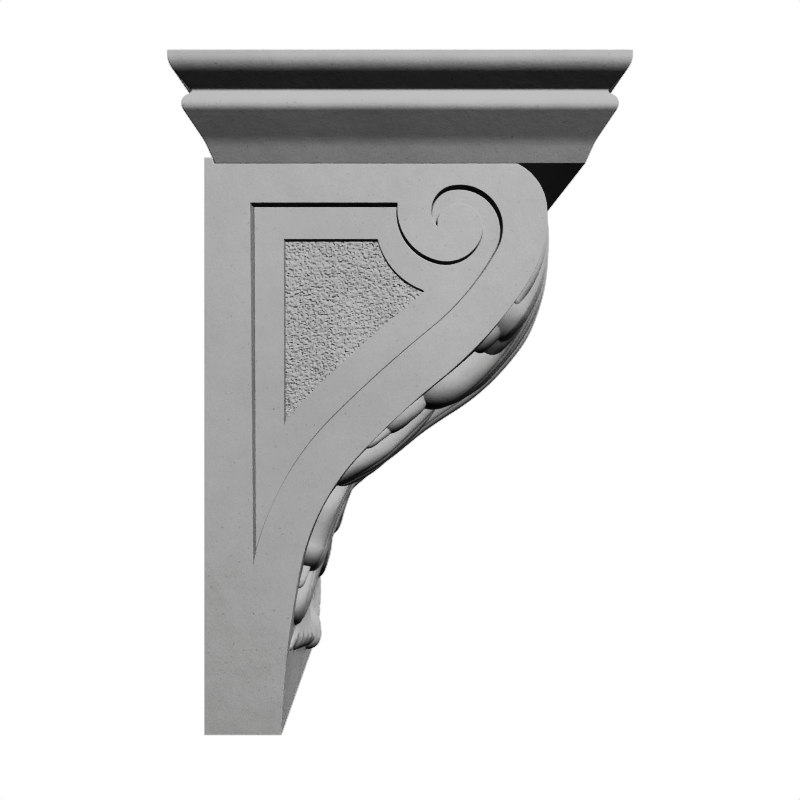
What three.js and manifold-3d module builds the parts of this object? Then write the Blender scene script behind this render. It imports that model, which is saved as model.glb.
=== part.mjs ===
// A carved bracket (corbel) of cast stone: a block with an S-shaped front that carries an acanthus
// leaf, a scroll-shaped sinking with a stippled panel on each side, and a square moulded crown on top.
//
// Millimetres, +Z up. The bracket projects towards -Y, and the wall is the plane Y = 0. The origin is
// the middle of the flat back of the body. "Out" is the distance from the wall, "up" is the height,
// "across" is the distance from the middle of the width, and "down" is measured along the S-front.

import * as THREE from "three";
import { mergeVertices } from "three/addons/utils/BufferGeometryUtils.js";
import Module from "manifold-3d";

const wasm = await Module();
wasm.setup();

const DEGREE = Math.PI / 180;

// The whole bracket
const OVERALL_HEIGHT = 560;
const BODY_WIDTH = 310.2;
const BODY_HEIGHT = 482.2;
const JOINT_GAP = 0.3;

// The body's levels: the lip is what rises behind the crown at the top of the back
const BOTTOM = -BODY_HEIGHT / 2;
const BACK_TOP = BODY_HEIGHT / 2;
const LIP_HEIGHT = 4.8;
const LIP_FOOT = 7.9;
const LIP_TOP = 5.9;
const BODY_TOP = BACK_TOP - LIP_HEIGHT;

// The crown: a square moulding whose profile runs from the top edge in and down to the body
const CROWN_OVERHANG = 31.2;
const CROWN_CENTRE_OUT = 163.4;
const CROWN_FOOT = BODY_TOP + JOINT_GAP;
const CROWN_TOP = BOTTOM + OVERALL_HEIGHT;
const CROWN_RUNS = [
  { line: 3.9 },
  { radius: 16.7, turn: 45 },
  { line: 14.2 },
  { radius: 2.5, turn: -90 },
  { line: 4.1 },
  { radius: 10.2, turn: 78.5 },
  { line: 20.5 },
  { radius: 50, turn: -11.7 },
];

// The S-shaped front, from the crown down to the foot of the tail
const FRONT_START = new THREE.Vector2(261.4, BODY_TOP);
const FRONT_HEADING = -25.6;
const FRONT_RUNS = [
  { radius: 44.3, turn: 61.3 },
  { radius: 105.1, turn: 36.3 },
  { radius: 346.7, turn: 17.9 },
  { radius: 654.1, turn: -8.25 },
  { radius: 195.4, turn: -31.5 },
  { radius: 816.6, turn: -9.67 },
];

// The sinking in each side: a channel that winds round a scroll, and a panel sunk deeper inside it
const SINKING_DEPTH = 12.9;
const SINKING_LEFT = 38.5;
const SINKING_TOP = 203.1;
const BAND_START = new THREE.Vector2(192.6, 185.7);
const BAND_HEADING = 121;
const BAND_RUNS = [
  { radius: 21.2, turn: 110.5 },
  { radius: 35.7, turn: 128.8 },
  { radius: 218.3, turn: 22.5 },
  { radius: 1143.5, turn: -5.6 },
  { radius: 246.8, turn: -30.1 },
  { radius: 76.6, turn: -9.1 },
];
const SCROLL_START = new THREE.Vector2(194.6, 184.3);
const SCROLL_HEADING = 100.7;
const SCROLL_RUNS = [
  { radius: 14, turn: 52.8 },
  { radius: 19.95, turn: 147.8 },
  { radius: 30.7, turn: 92.3 },
  { radius: 44.1, turn: 84.7 },
];
const PANEL_DEPTH = 10.4;
const PANEL_LEFT = 65;
const PANEL_TOP = 175;
const PANEL_MARGIN = 28;
const PANEL_ARC_CENTRE = new THREE.Vector2(204.4, 189.8);
const PANEL_ARC_RADIUS = 62;

// The front's flat border, the field between, and how deep the carving is rooted in the block
const FILLET = 19.2;
const FOOT_BORDER = 28.4;
const FIELD_RISE = 3.2;
const FIELD_HALF_WIDTH = BODY_WIDTH / 2 - FILLET;
const ROOTED = 6;

// The leaf's middle rib: its height above the front at each distance down, and its section as
// shares of the half width and of the height
const RIB_LINE = [
  [0, 25],
  [48, 26],
  [72, 27.4],
  [98, 31.4],
  [126, 37.5],
  [162, 39],
  [204, 37.5],
  [232, 34.5],
  [260, 31.2],
  [302, 27.4],
  [344, 19.4],
  [362, 15],
  [384, 16.5],
  [424, 13.5],
  [442, 11],
  [470, 6],
  [531, 6],
];
const RIB_START = -30;
const RIB_END = 505;
const RIB_HALF_WIDTH = 9;
const RIB_TAPER = 0.4;
const RIB_SECTION = [
  [-1, 0.7],
  [-0.6, 0.95],
  [0, 1],
  [0.6, 0.95],
  [1, 0.7],
  [1.4, 0],
  [-1.4, 0],
];
const BED_SHARE = 0.38;
const BED_END = 500;

// The lobes of one half, from the border inwards and down. Each row is the lobe's outer edge as
// (down, across), its inner edge as (down, across) and its height. The outer side rises to the share
// "edge" of the height over "wall", then to all of it at the inner side, which falls over "lip". The
// end is rounded about a place at the share "bias" between the edges, out to the tip.
const LOBES = [
  {
    wall: 9, lip: 4, edge: 1, bias: 0.5, drop: 5, tip: [131, 126],
    rows: [[10, 133, 10, 124, 2.5], [60, 132.5, 60, 122, 5], [124, 131, 124, 119, 6.5]],
  },
  {
    wall: 5, lip: 4, edge: 0.72, bias: 0.25, drop: 2.2, tip: [168, 106],
    rows: [[-10, 122, -10, 90, 5], [84, 124, 84, 92, 12.5], [130, 130, 134, 96, 19.5]],
  },
  {
    wall: 8, lip: 6, edge: 1, bias: 0.25, drop: 2, tip: [187, 102],
    rows: [[-10, 108, -10, 66, 5], [50, 112, 50, 68, 7.5], [140, 124, 140, 84, 21.5]],
  },
  {
    wall: 26, lip: 11, edge: 0.7, bias: 0.6, drop: 1.9, tip: [248, 92],
    rows: [
      [-10, 90, -10, 12, 15],
      [90, 94, 90, 12, 26],
      [165, 108, 138, 12, 33],
      [212, 126, 160, 13, 33],
    ],
  },
  {
    wall: 9, lip: 8, edge: 1, bias: 0.4, drop: 1.8, tip: [288, 122],
    rows: [[240, 126, 236, 106, 7], [255, 130, 250, 108, 11.5], [264, 132, 262, 110, 11]],
  },
  {
    wall: 5, lip: 3, edge: 1, bias: 0.5, drop: 2, tip: [308, 130],
    rows: [[275, 127, 272, 116, 6], [297, 133, 296, 125, 5]],
  },
  {
    wall: 14, lip: 4, edge: 0.85, bias: 0.3, drop: 1.5, tip: [352, 116],
    rows: [[205, 16, 236, 12, 18], [262, 80, 292, 40, 25.5], [290, 110, 318, 68, 22.5]],
  },
  {
    wall: 12, lip: 6, edge: 0.85, bias: 0.35, drop: 2.4, tip: [430, 108],
    rows: [[292, 16, 322, 10, 9], [342, 100, 370, 36, 12.5], [398, 133, 412, 84, 17.5]],
  },
  {
    wall: 5, lip: 3, edge: 1, bias: 0.5, drop: 2, tip: [443, 129],
    rows: [[412, 118, 408, 104, 5], [434, 132, 433, 122, 5]],
  },
  {
    wall: 12, lip: 6, edge: 0.85, bias: 0.35, drop: 2, tip: [478, 104],
    rows: [[356, 16, 384, 9, 10], [410, 94, 428, 34, 10.5], [440, 128, 452, 62, 10.5]],
  },
];

// The stem beside the rib, and the curled tip of the leaf in the middle
const STEM = {
  wall: 5, lip: 5, edge: 1, bias: 0.5, drop: 2, tip: [430, 20],
  rows: [
    [-10, 20, -10, 8, 15],
    [50, 20, 50, 8, 17],
    [150, 22, 150, 8, 32],
    [190, 22, 190, 8, 32],
    [250, 23, 250, 9, 27],
    [310, 25, 310, 10, 20],
    [395, 27, 395, 12, 13],
  ],
};
const LEAF_TIP = {
  wall: 9, lip: 9, edge: 1, bias: 0.5, drop: 2.5, tip: [534, 0],
  rows: [[470, 9, 470, -9, 5], [490, 11, 490, -11, 7], [518, 12, 518, -12, 17]],
};

// The leaf's lower end: it curls up along an edge of round tongues that falls back to the border
const FRINGE = { wall: 12, lip: 10, edge: 4.2, bias: 0.6, drop: 2, tip: [492, 132] };
const FRINGE_FOOT = 531;
const FRINGE_TOP = 436;
const FRINGE_FALL = 27;
const FRINGE_RISE = 30;
const FRINGE_HALF = 114;
const FRINGE_TOP_HALF = 84;
const FRINGE_HEIGHT = 3.5;
const FRINGE_LOSS = 0.65;
const TONGUES = 4.5;
const NOTCH = 7;
const NOTCH_HEIGHT = 0.8;

// How finely curves are cut into flats
const ARC_STEP = 4;
const FRONT_STEP = 18;
const ROW_STEP = 27;
const ARC_SAG = 0.4;
const CROWN_SAG = 0.12;
const SINKING_SAG = 0.15;
const NO_BEND = 1e-9;
const WELD = 1e-4;
const NOSE_RINGS = 4;
const FRINGE_ROWS = 18;
const WALL_PLACES = [0, 0.13, 0.45, 1];
const TOP_PLACES = [0.33, 0.67];
const LIP_PLACES = [1, 0.4, 0];
const FIELD_RINGS = 30;
const BED_CUTS = 8;
const PANEL_ARC_CUTS = 10;
const CUTTER_PROUD = 5;

// Limits on a lobe's wall and lip as shares of its width, how far its nose closes, the gap to the
// border, and where its foot and its root stand below the front
const WALL_LIMIT = 0.5;
const LIP_LIMIT = 0.35;
const NOSE_TURN = 89;
const BORDER_GAP = 0.4;
const LOBE_FOOT = -1;
const ROOT_SHARES = [0.9, 0.1];
const FRINGE_OVERLAP = 3;
const FRINGE_BEND = 1.5;

const stone = new THREE.Color("#a9a9a9");

// A path of tangent lines and arcs; a positive turn is clockwise
function arcPath(start, headingDegrees, runs) {
  const pieces = [];
  let point = start;
  let heading = headingDegrees * DEGREE;
  let length = 0;
  for (const run of runs) {
    const turn = -(run.turn ?? 0) * DEGREE;
    const span = run.line ?? run.radius * Math.abs(turn);
    const piece = { from: length, span, point, heading, bend: turn / span };
    pieces.push(piece);
    point = alongPiece(piece, span).point;
    heading += turn;
    length += span;
  }
  const at = (distance) => {
    const piece = pieces.findLast((one) => one.from <= distance) ?? pieces[0];
    return alongPiece(piece, distance - piece.from);
  };
  return { pieces, length, at };
}

function alongPiece({ point, heading, bend }, distance) {
  const turned = heading + bend * distance;
  const end = point.clone();
  if (Math.abs(bend) < NO_BEND) {
    end.x += distance * Math.cos(heading);
    end.y += distance * Math.sin(heading);
  } else {
    end.x += (Math.sin(turned) - Math.sin(heading)) / bend;
    end.y -= (Math.cos(turned) - Math.cos(heading)) / bend;
  }
  return { point: end, heading: turned };
}

// The path's points, closer together where it bends more
function pathPoints(path, sag = ARC_SAG) {
  const points = [path.at(0).point];
  for (const { from, span, bend } of path.pieces) {
    const step = Math.abs(bend) < NO_BEND ? span : Math.sqrt((8 * sag) / Math.abs(bend));
    const cuts = Math.max(1, Math.ceil(span / step));
    for (let cut = 1; cut <= cuts; cut++) {
      points.push(path.at(from + (span * cut) / cuts - WELD).point);
    }
  }
  return points;
}

// The place on one side of a path, at a right angle to it; left is positive
function besidePath(path, distance, offset) {
  const { point, heading } = path.at(distance);
  return new THREE.Vector2(
    point.x - offset * Math.sin(heading),
    point.y + offset * Math.cos(heading),
  );
}

// The value at a place, straight between rows of [place, value]
function blend(rows, place) {
  const next = rows.findIndex(([from]) => from > place);
  if (next < 0) return rows.at(-1)[1];
  if (next === 0) return rows[0][1];
  const [[from, low], [to, high]] = [rows[next - 1], rows[next]];
  return low + ((high - low) * (place - from)) / (to - from);
}

const front = arcPath(FRONT_START, FRONT_HEADING, FRONT_RUNS);

// A point of the carving, from its distance down the front, its place across and its height
function onFront(down, across, height) {
  const place = besidePath(front, down, height);
  return new THREE.Vector3(across, -place.x, place.y);
}

// A shape in the (out, up) plane, extruded across the width from one place to another
function slab(points, from, to) {
  const shape = new THREE.Shape(points);
  const geometry = new THREE.ExtrudeGeometry(shape, { depth: to - from, bevelEnabled: false });
  const turn = new THREE.Matrix4().makeBasis(
    new THREE.Vector3(0, -1, 0),
    new THREE.Vector3(0, 0, 1),
    new THREE.Vector3(-1, 0, 0),
  );
  return geometry.applyMatrix4(turn).translate(to, 0, 0);
}

// A closed body through rings of points, capped flat at both ends
function loft(rings) {
  const sides = rings[0].length;
  const positions = rings.flat().flatMap((point) => point.toArray());
  const index = [];
  for (let ring = 0; ring + 1 < rings.length; ring++) {
    for (let side = 0; side < sides; side++) {
      const a = ring * sides + side;
      const b = ring * sides + ((side + 1) % sides);
      index.push(a, b, b + sides, a, b + sides, a + sides);
    }
  }
  const ends = [rings[0], rings.at(-1)];
  ends.forEach((ring, end) => {
    const middle = ring.reduce((sum, point) => sum.add(point), new THREE.Vector3());
    positions.push(...middle.divideScalar(sides).toArray());
    const hub = positions.length / 3 - 1;
    const first = end === 0 ? 0 : (rings.length - 1) * sides;
    for (let side = 0; side < sides; side++) {
      const a = first + side;
      const b = first + ((side + 1) % sides);
      index.push(...(end === 0 ? [hub, b, a] : [hub, a, b]));
    }
  });
  const geometry = new THREE.BufferGeometry();
  geometry.setAttribute("position", new THREE.Float32BufferAttribute(positions, 3));
  geometry.setIndex(signedVolume(positions, index) < 0 ? index.reverse() : index);
  return geometry;
}

function signedVolume(positions, index) {
  const corner = (at) => new THREE.Vector3().fromArray(positions, 3 * at);
  let sum = 0;
  for (let at = 0; at < index.length; at += 3) {
    const [a, b, c] = [0, 1, 2].map((n) => corner(index[at + n]));
    sum += a.dot(b.cross(c)) / 6;
  }
  return sum;
}

// Solids for joining and cutting, and back to geometry
function solidOf(geometry) {
  const bare = geometry.clone();
  bare.deleteAttribute("normal");
  bare.deleteAttribute("uv");
  const merged = mergeVertices(bare, WELD);
  return new wasm.Manifold(
    new wasm.Mesh({
      numProp: 3,
      vertProperties: merged.attributes.position.array,
      triVerts: new Uint32Array(merged.index.array),
    }),
  );
}

function geometryOf(solid) {
  const mesh = solid.getMesh();
  const geometry = new THREE.BufferGeometry();
  geometry.setAttribute("position", new THREE.BufferAttribute(mesh.vertProperties, 3));
  geometry.setIndex(new THREE.BufferAttribute(mesh.triVerts, 1));
  geometry.computeVertexNormals();
  return geometry;
}

// The crown, turned as a four-sided lathe form: a square at every level
function crownGeometry() {
  const edge = new THREE.Vector2(CROWN_OVERHANG, CROWN_TOP);
  const profile = pathPoints(arcPath(edge, -90, CROWN_RUNS), CROWN_SAG);
  const last = profile.at(-1);
  const before = profile.at(-2);
  const slope = (last.x - before.x) / (last.y - before.y);
  profile.push(new THREE.Vector2(last.x + slope * (CROWN_FOOT - last.y), CROWN_FOOT));
  const corner = (point) =>
    new THREE.Vector2((BODY_WIDTH / 2 + point.x) * Math.SQRT2, point.y);
  const outline = [
    new THREE.Vector2(0, CROWN_TOP),
    ...profile.map(corner),
    new THREE.Vector2(0, CROWN_FOOT),
  ];
  const geometry = new THREE.LatheGeometry(outline.reverse(), 4, 45 * DEGREE);
  return geometry.rotateX(90 * DEGREE).translate(0, -CROWN_CENTRE_OUT, 0);
}

// The block, seen from the side
function sideOutline() {
  return [
    new THREE.Vector2(0, BOTTOM),
    new THREE.Vector2(front.at(front.length).point.x, BOTTOM),
    ...pathPoints(front).reverse(),
    new THREE.Vector2(LIP_FOOT, BODY_TOP),
    new THREE.Vector2(LIP_TOP, BACK_TOP),
    new THREE.Vector2(0, BACK_TOP),
  ];
}

// The outline of the channel: along the top, round the scroll to its eye and down the band
function sinkingOutline() {
  const scroll = pathPoints(arcPath(SCROLL_START, SCROLL_HEADING, SCROLL_RUNS), SINKING_SAG);
  scroll.at(-1).y = SINKING_TOP;
  const band = pathPoints(arcPath(BAND_START, BAND_HEADING, BAND_RUNS), SINKING_SAG);
  return [new THREE.Vector2(SINKING_LEFT, SINKING_TOP), ...scroll.reverse(), ...band];
}

// The outline of the panel, which keeps its distance from the band and from the scroll
function panelOutline() {
  const band = arcPath(BAND_START, BAND_HEADING, BAND_RUNS);
  const points = [new THREE.Vector2(PANEL_LEFT, PANEL_TOP)];
  const inside = (point) =>
    point.distanceTo(PANEL_ARC_CENTRE) > PANEL_ARC_RADIUS && point.x > PANEL_LEFT;
  const lower = [];
  for (let distance = band.length; distance > 0; distance -= ARC_STEP) {
    const place = besidePath(band, distance, -PANEL_MARGIN);
    if (inside(place) && place.y < PANEL_TOP) lower.push(place);
  }
  points.push(new THREE.Vector2(PANEL_LEFT, lower[0].y - 1), ...lower);
  const angleTo = (point) =>
    Math.atan2(point.y - PANEL_ARC_CENTRE.y, point.x - PANEL_ARC_CENTRE.x);
  const rise = PANEL_TOP - PANEL_ARC_CENTRE.y;
  const run = Math.sqrt(PANEL_ARC_RADIUS ** 2 - rise ** 2);
  const corner = new THREE.Vector2(PANEL_ARC_CENTRE.x - run, PANEL_TOP);
  const [from, to] = [angleTo(lower.at(-1)), angleTo(corner)];
  for (let cut = 0; cut <= PANEL_ARC_CUTS; cut++) {
    const angle = from + ((to - from) * cut) / PANEL_ARC_CUTS;
    points.push(
      new THREE.Vector2(
        PANEL_ARC_CENTRE.x + PANEL_ARC_RADIUS * Math.cos(angle),
        PANEL_ARC_CENTRE.y + PANEL_ARC_RADIUS * Math.sin(angle),
      ),
    );
  }
  return points;
}

// What the sides lose: channel and panel, cut in from the face at this end of the width
function sideCutters() {
  const face = BODY_WIDTH / 2;
  const floor = face - SINKING_DEPTH;
  const sinking = sinkingOutline();
  const panel = panelOutline();
  return [
    slab(sinking, floor, face + CUTTER_PROUD),
    slab(sinking, -face - CUTTER_PROUD, -floor),
    slab(panel, floor - PANEL_DEPTH, floor + CUTTER_PROUD),
    slab(panel, -floor - CUTTER_PROUD, PANEL_DEPTH - floor),
  ];
}

const ribHeight = (down) => blend(RIB_LINE, down);

// The leaf's bed falls straight from the rib to the border
function bedGeometry() {
  const rings = [];
  for (let down = RIB_START; down <= BED_END; down += FRONT_STEP) {
    const ring = [];
    for (let cut = 0; cut <= BED_CUTS; cut++) {
      const share = (2 * cut) / BED_CUTS - 1;
      const height = BED_SHARE * ribHeight(down) * (1 - Math.abs(share));
      ring.push(onFront(down, FIELD_HALF_WIDTH * share, height));
    }
    ring.push(onFront(down, FIELD_HALF_WIDTH, -ROOTED), onFront(down, -FIELD_HALF_WIDTH, -ROOTED));
    rings.push(ring);
  }
  return loft(rings);
}

// The plain field: a low ridge between the borders
function fieldGeometry() {
  const rings = [];
  const end = front.length - FOOT_BORDER;
  for (let ring = 0; ring <= FIELD_RINGS; ring++) {
    const down = (end * ring) / FIELD_RINGS;
    rings.push([
      onFront(down, -FIELD_HALF_WIDTH, 0),
      onFront(down, 0, FIELD_RISE),
      onFront(down, FIELD_HALF_WIDTH, 0),
      onFront(down, 0, -ROOTED),
    ]);
  }
  return loft(rings);
}

function ribGeometry() {
  const rings = [];
  for (let down = RIB_START; down <= RIB_END; down += FRONT_STEP) {
    const height = ribHeight(down);
    const half = RIB_HALF_WIDTH * (1 - (RIB_TAPER * Math.max(0, down)) / RIB_END);
    rings.push(RIB_SECTION.map(([side, rise]) => onFront(down, side * half, rise * height)));
  }
  return loft(rings);
}

// Heights over a lobe's width: up the wall, on to full height, down the lip
function lobeSection({ wall, lip, edge }, width, height) {
  const rise = Math.min(wall, WALL_LIMIT * width);
  const fall = Math.min(lip, LIP_LIMIT * width);
  const top = width - rise - fall;
  const round = (share) => Math.sqrt(1 - share * share);
  return [
    ...WALL_PLACES.map((place) => [rise * place, edge * round(1 - place)]),
    ...TOP_PLACES.map((place) => [rise + top * place, edge + (1 - edge) * place]),
    ...LIP_PLACES.map((place) => [width - fall * place, round(1 - place)]),
  ].map(([gone, up]) => [gone / width, height * up]);
}

// Stations with more between them, so that a lobe follows the curve of the front
function refined(stations) {
  const fine = [stations[0]];
  for (let next = 1; next < stations.length; next++) {
    const [a, b] = [stations[next - 1], stations[next]];
    const cuts = Math.ceil(a.inner.distanceTo(b.inner) / ROW_STEP);
    for (let cut = 1; cut <= cuts; cut++) {
      const share = cut / cuts;
      fine.push({
        outer: a.outer.clone().lerp(b.outer, share),
        inner: a.inner.clone().lerp(b.inner, share),
        height: a.height + (b.height - a.height) * share,
      });
    }
  }
  return fine;
}

// A lobe of the leaf through its rows, with its rounded end
function lobeGeometry(lobe, hand) {
  const { rows, tip, bias, drop } = lobe;
  const stations = rows.map(([outerDown, outerAcross, innerDown, innerAcross, height]) => ({
    outer: new THREE.Vector2(outerDown, outerAcross),
    inner: new THREE.Vector2(innerDown, innerAcross),
    height,
  }));
  const last = stations.at(-1);
  const centre = last.inner.clone().lerp(last.outer, bias);
  const reach = new THREE.Vector2(...tip).sub(centre);
  const nose = [];
  for (let ring = 1; ring <= NOSE_RINGS; ring++) {
    const turn = (ring / NOSE_RINGS) * NOSE_TURN * DEGREE;
    const middle = centre.clone().addScaledVector(reach, Math.sin(turn));
    const close = (edge) =>
      middle.clone().addScaledVector(edge.clone().sub(centre), Math.cos(turn));
    const height = last.height * (1 - Math.sin(turn) ** drop) ** (1 / drop);
    nose.push({ outer: close(last.outer), inner: close(last.inner), height });
  }
  const rings = [...refined(stations), ...nose].map(({ outer, inner, height }) => {
    const place = (share, up) => {
      const { x: down, y: across } = outer.clone().lerp(inner, share);
      return onFront(down, hand * Math.min(across, FIELD_HALF_WIDTH - BORDER_GAP), up);
    };
    const section = lobeSection(lobe, outer.distanceTo(inner), height);
    section[0][1] = LOBE_FOOT;
    section.at(-1)[1] = LOBE_FOOT;
    return [
      ...section.map(([share, up]) => place(share, up)),
      ...ROOT_SHARES.map((share) => place(share, -ROOTED)),
    ];
  });
  return loft(rings);
}

// The rows of the leaf's lower end, each from its curled edge up to the leaf
function fringeRows() {
  const rows = [];
  for (let row = 0; row <= FRINGE_ROWS; row++) {
    const share = row / FRINGE_ROWS;
    const notch = 1 - Math.abs(Math.cos(180 * DEGREE * TONGUES * share));
    const height = (FRINGE_HEIGHT - NOTCH_HEIGHT * notch) * (1 - FRINGE_LOSS * share);
    rows.push([
      FRINGE_FOOT - FRINGE_FALL * share - NOTCH * notch,
      FRINGE_HALF * share - FRINGE_OVERLAP,
      FRINGE_TOP + FRINGE_RISE * share ** FRINGE_BEND,
      FRINGE_TOP_HALF * share - FRINGE_OVERLAP,
      height,
    ]);
  }
  return rows;
}

// The whole carving of the front, cut off level where the crown sits on it
function carvingSolid() {
  let leaf = solidOf(bedGeometry()).add(solidOf(ribGeometry())).add(solidOf(fieldGeometry()));
  const fringe = { ...FRINGE, rows: fringeRows() };
  for (const hand of [-1, 1]) {
    for (const lobe of [...LOBES, STEM, fringe]) leaf = leaf.add(solidOf(lobeGeometry(lobe, hand)));
  }
  leaf = leaf.add(solidOf(lobeGeometry(LEAF_TIP, 1)));
  const size = 2 * BODY_WIDTH;
  const above = new THREE.BoxGeometry(size, 2 * size, size).translate(0, 0, BODY_TOP + size / 2);
  return leaf.subtract(solidOf(above));
}

function bodyGeometry() {
  let body = solidOf(slab(sideOutline(), -BODY_WIDTH / 2, BODY_WIDTH / 2));
  for (const cutter of sideCutters()) body = body.subtract(solidOf(cutter));
  return geometryOf(body.add(carvingSolid()));
}

function namedMesh(name, geometry) {
  const material = new THREE.MeshStandardMaterial({ color: stone, roughness: 0.8, metalness: 0 });
  const mesh = new THREE.Mesh(geometry, material);
  mesh.name = name;
  return mesh;
}

const bracket = new THREE.Group();
bracket.add(namedMesh("bracket_body", bodyGeometry()));
bracket.add(namedMesh("crown_moulding", crownGeometry()));

export default bracket;
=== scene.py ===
"""A carved stone bracket: fine body with its acanthus leaf, fine crown, stone material, studio."""

import math

import bpy
import numpy as np
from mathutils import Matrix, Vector


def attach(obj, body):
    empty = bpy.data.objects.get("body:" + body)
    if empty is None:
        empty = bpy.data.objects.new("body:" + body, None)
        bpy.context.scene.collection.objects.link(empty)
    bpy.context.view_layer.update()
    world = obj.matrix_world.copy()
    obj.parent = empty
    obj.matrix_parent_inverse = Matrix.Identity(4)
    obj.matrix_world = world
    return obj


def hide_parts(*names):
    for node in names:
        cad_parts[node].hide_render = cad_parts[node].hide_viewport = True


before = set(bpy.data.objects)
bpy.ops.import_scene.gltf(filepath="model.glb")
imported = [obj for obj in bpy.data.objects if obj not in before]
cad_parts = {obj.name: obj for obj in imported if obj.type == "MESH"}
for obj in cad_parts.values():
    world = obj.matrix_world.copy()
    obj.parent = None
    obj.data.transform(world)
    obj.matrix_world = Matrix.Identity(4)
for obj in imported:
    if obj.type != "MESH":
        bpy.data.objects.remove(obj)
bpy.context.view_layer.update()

# Sizes are in millimetres, as in the solids. "Out" is the distance from the wall, "up" the height,
# "across" the distance from the middle of the width, and "down" is measured along the S-front.
MM = 0.001
TINY = 1e-9
PIECE_END = 1e-6

# The block
WIDTH = 310.2
BODY_HEIGHT = 482.2
OVERALL = 560.0
JOINT_GAP = 0.3
LIP_HEIGHT = 4.8
LIP_FOOT = 7.9
LIP_TOP = 5.9
BOTTOM = -BODY_HEIGHT / 2
BACK_TOP = BODY_HEIGHT / 2
BODY_TOP = BACK_TOP - LIP_HEIGHT
EDGE_ROUND = 0.7

# The crown's profile from its top edge in and down, as runs of (radius or None, turn or length)
CROWN_FOOT = BODY_TOP + JOINT_GAP
CROWN_TOP = BOTTOM + OVERALL
CROWN_OVERHANG = 31.2
CROWN_CENTRE = 163.4
CROWN_RUNS = [
    (None, 3.9),
    (16.7, 45),
    (None, 14.2),
    (2.5, -90),
    (None, 4.1),
    (10.2, 78.5),
    (None, 20.5),
    (50, -11.7),
]
CROWN_ARRIS = 0.6
CROWN_CORNER = 1.0
CROWN_CORNER_CUTS = 4

# The S-front, from the crown down to the foot of the tail
FRONT_START = (261.4, BODY_TOP)
FRONT_HEADING = -25.6
FRONT_RUNS = [
    (44.3, 61.3),
    (105.1, 36.3),
    (346.7, 17.9),
    (654.1, -8.25),
    (195.4, -31.5),
    (816.6, -9.67),
]

# The sinking in each side: a channel that winds round a scroll, and a panel sunk deeper inside it
SINKING_DEPTH = 12.9
SINKING_LEFT = 38.5
SINKING_TOP = 203.1
BAND_START = (192.6, 185.7)
BAND_HEADING = 121
BAND_RUNS = [
    (21.2, 110.5),
    (35.7, 128.8),
    (218.3, 22.5),
    (1143.5, -5.6),
    (246.8, -30.1),
    (76.6, -9.1),
]
SCROLL_START = (194.6, 184.3)
SCROLL_HEADING = 100.7
SCROLL_RUNS = [(14, 52.8), (19.95, 147.8), (30.7, 92.3), (44.1, 84.7)]
PANEL_DEPTH = 10.4
PANEL_LEFT = 65
PANEL_TOP = 175
PANEL_MARGIN = 28
PANEL_ARC_CENTRE = (204.4, 189.8)
PANEL_ARC_RADIUS = 62
PANEL_STEP = 1.5
PANEL_TOE = 1
PANEL_ARC_CUTS = 30

# The fine line at the foot of the channel, and the slight bevel at the top of its walls
LINE_WIDTH = 1.1
LINE_MIDDLE = 0.5
LINE_DEPTH = 0.8
CHAMFER_DEPTH = 0.4
PROUD = 0.3

# The stippled ground of the panel
STIPPLE_STEP = 0.78
STIPPLE_BLUR = 0.12
STIPPLE_JITTER = 0.3
STIPPLE_RANGE = (-2.2, 0.8)
STIPPLE_HEIGHT = 0.41
STIPPLE_SEED = 11
STIPPLE_MARGIN = 3
STIPPLE_BOX_DEPTH = 40
POCKET_BELOW = 5

# The front: its plain borders at the sides and the foot, the low ridge of the field between them, and
# how deep the carving is rooted in the block
FILLET = 19.2
FOOT_BORDER = 28.4
FIELD_RISE = 3.2
FIELD_HALF = WIDTH / 2 - FILLET
ROOTED = 6

# The least cosine that counts when a sharp corner of an outline moves inwards
MITRE_LIMIT = 0.35

# The angle in degrees from which an edge is shaded sharp
SHARP_FROM = 38

# How far straight pieces may stand off the true curves
FINE_SAG = 0.01
FRONT_SAG = 0.02


class Path:
    """Tangent lines and arcs; a positive turn is clockwise. Left of the path is positive."""

    def __init__(self, start, heading, runs):
        self.pieces = []
        x, y = start
        angle = math.radians(heading)
        length = 0.0
        for radius, amount in runs:
            turn = 0.0 if radius is None else -math.radians(amount)
            span = amount if radius is None else radius * abs(turn)
            self.pieces.append((length, span, x, y, angle, turn / span))
            x, y, angle = self._along(self.pieces[-1], span)
            length += span
        self.length = length

    @staticmethod
    def _along(piece, distance):
        _, _, x, y, angle, bend = piece
        turned = angle + bend * distance
        if abs(bend) < TINY:
            return x + distance * math.cos(angle), y + distance * math.sin(angle), turned
        return (
            x + (math.sin(turned) - math.sin(angle)) / bend,
            y - (math.cos(turned) - math.cos(angle)) / bend,
            turned,
        )

    def at(self, distance):
        """Out, up and heading at a distance along the path."""
        piece = self.pieces[0]
        for one in self.pieces:
            if one[0] <= distance:
                piece = one
        return self._along(piece, distance - piece[0])

    def beside(self, distance, offset):
        """Out and up at an offset to the left of the path."""
        x, y, angle = self.at(distance)
        return x - offset * math.sin(angle), y + offset * math.cos(angle)

    def points(self, sag):
        """Points along the path whose chords stand off its arcs by no more than the sag."""
        found = [self.at(0)[:2]]
        for start, span, _, _, _, bend in self.pieces:
            step = span if abs(bend) < TINY else math.sqrt(8 * sag / abs(bend))
            cuts = max(1, math.ceil(span / step))
            for cut in range(1, cuts + 1):
                found.append(self.at(start + span * cut / cuts - PIECE_END)[:2])
        return found


# The front's places and headings at every half millimetre, and a little past both its ends
front = Path(FRONT_START, FRONT_HEADING, FRONT_RUNS)
FRONT_DISTANCES = np.arange(-60, 620, 0.5)
FRONT_TABLE = np.array([front.at(distance) for distance in FRONT_DISTANCES])


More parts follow.
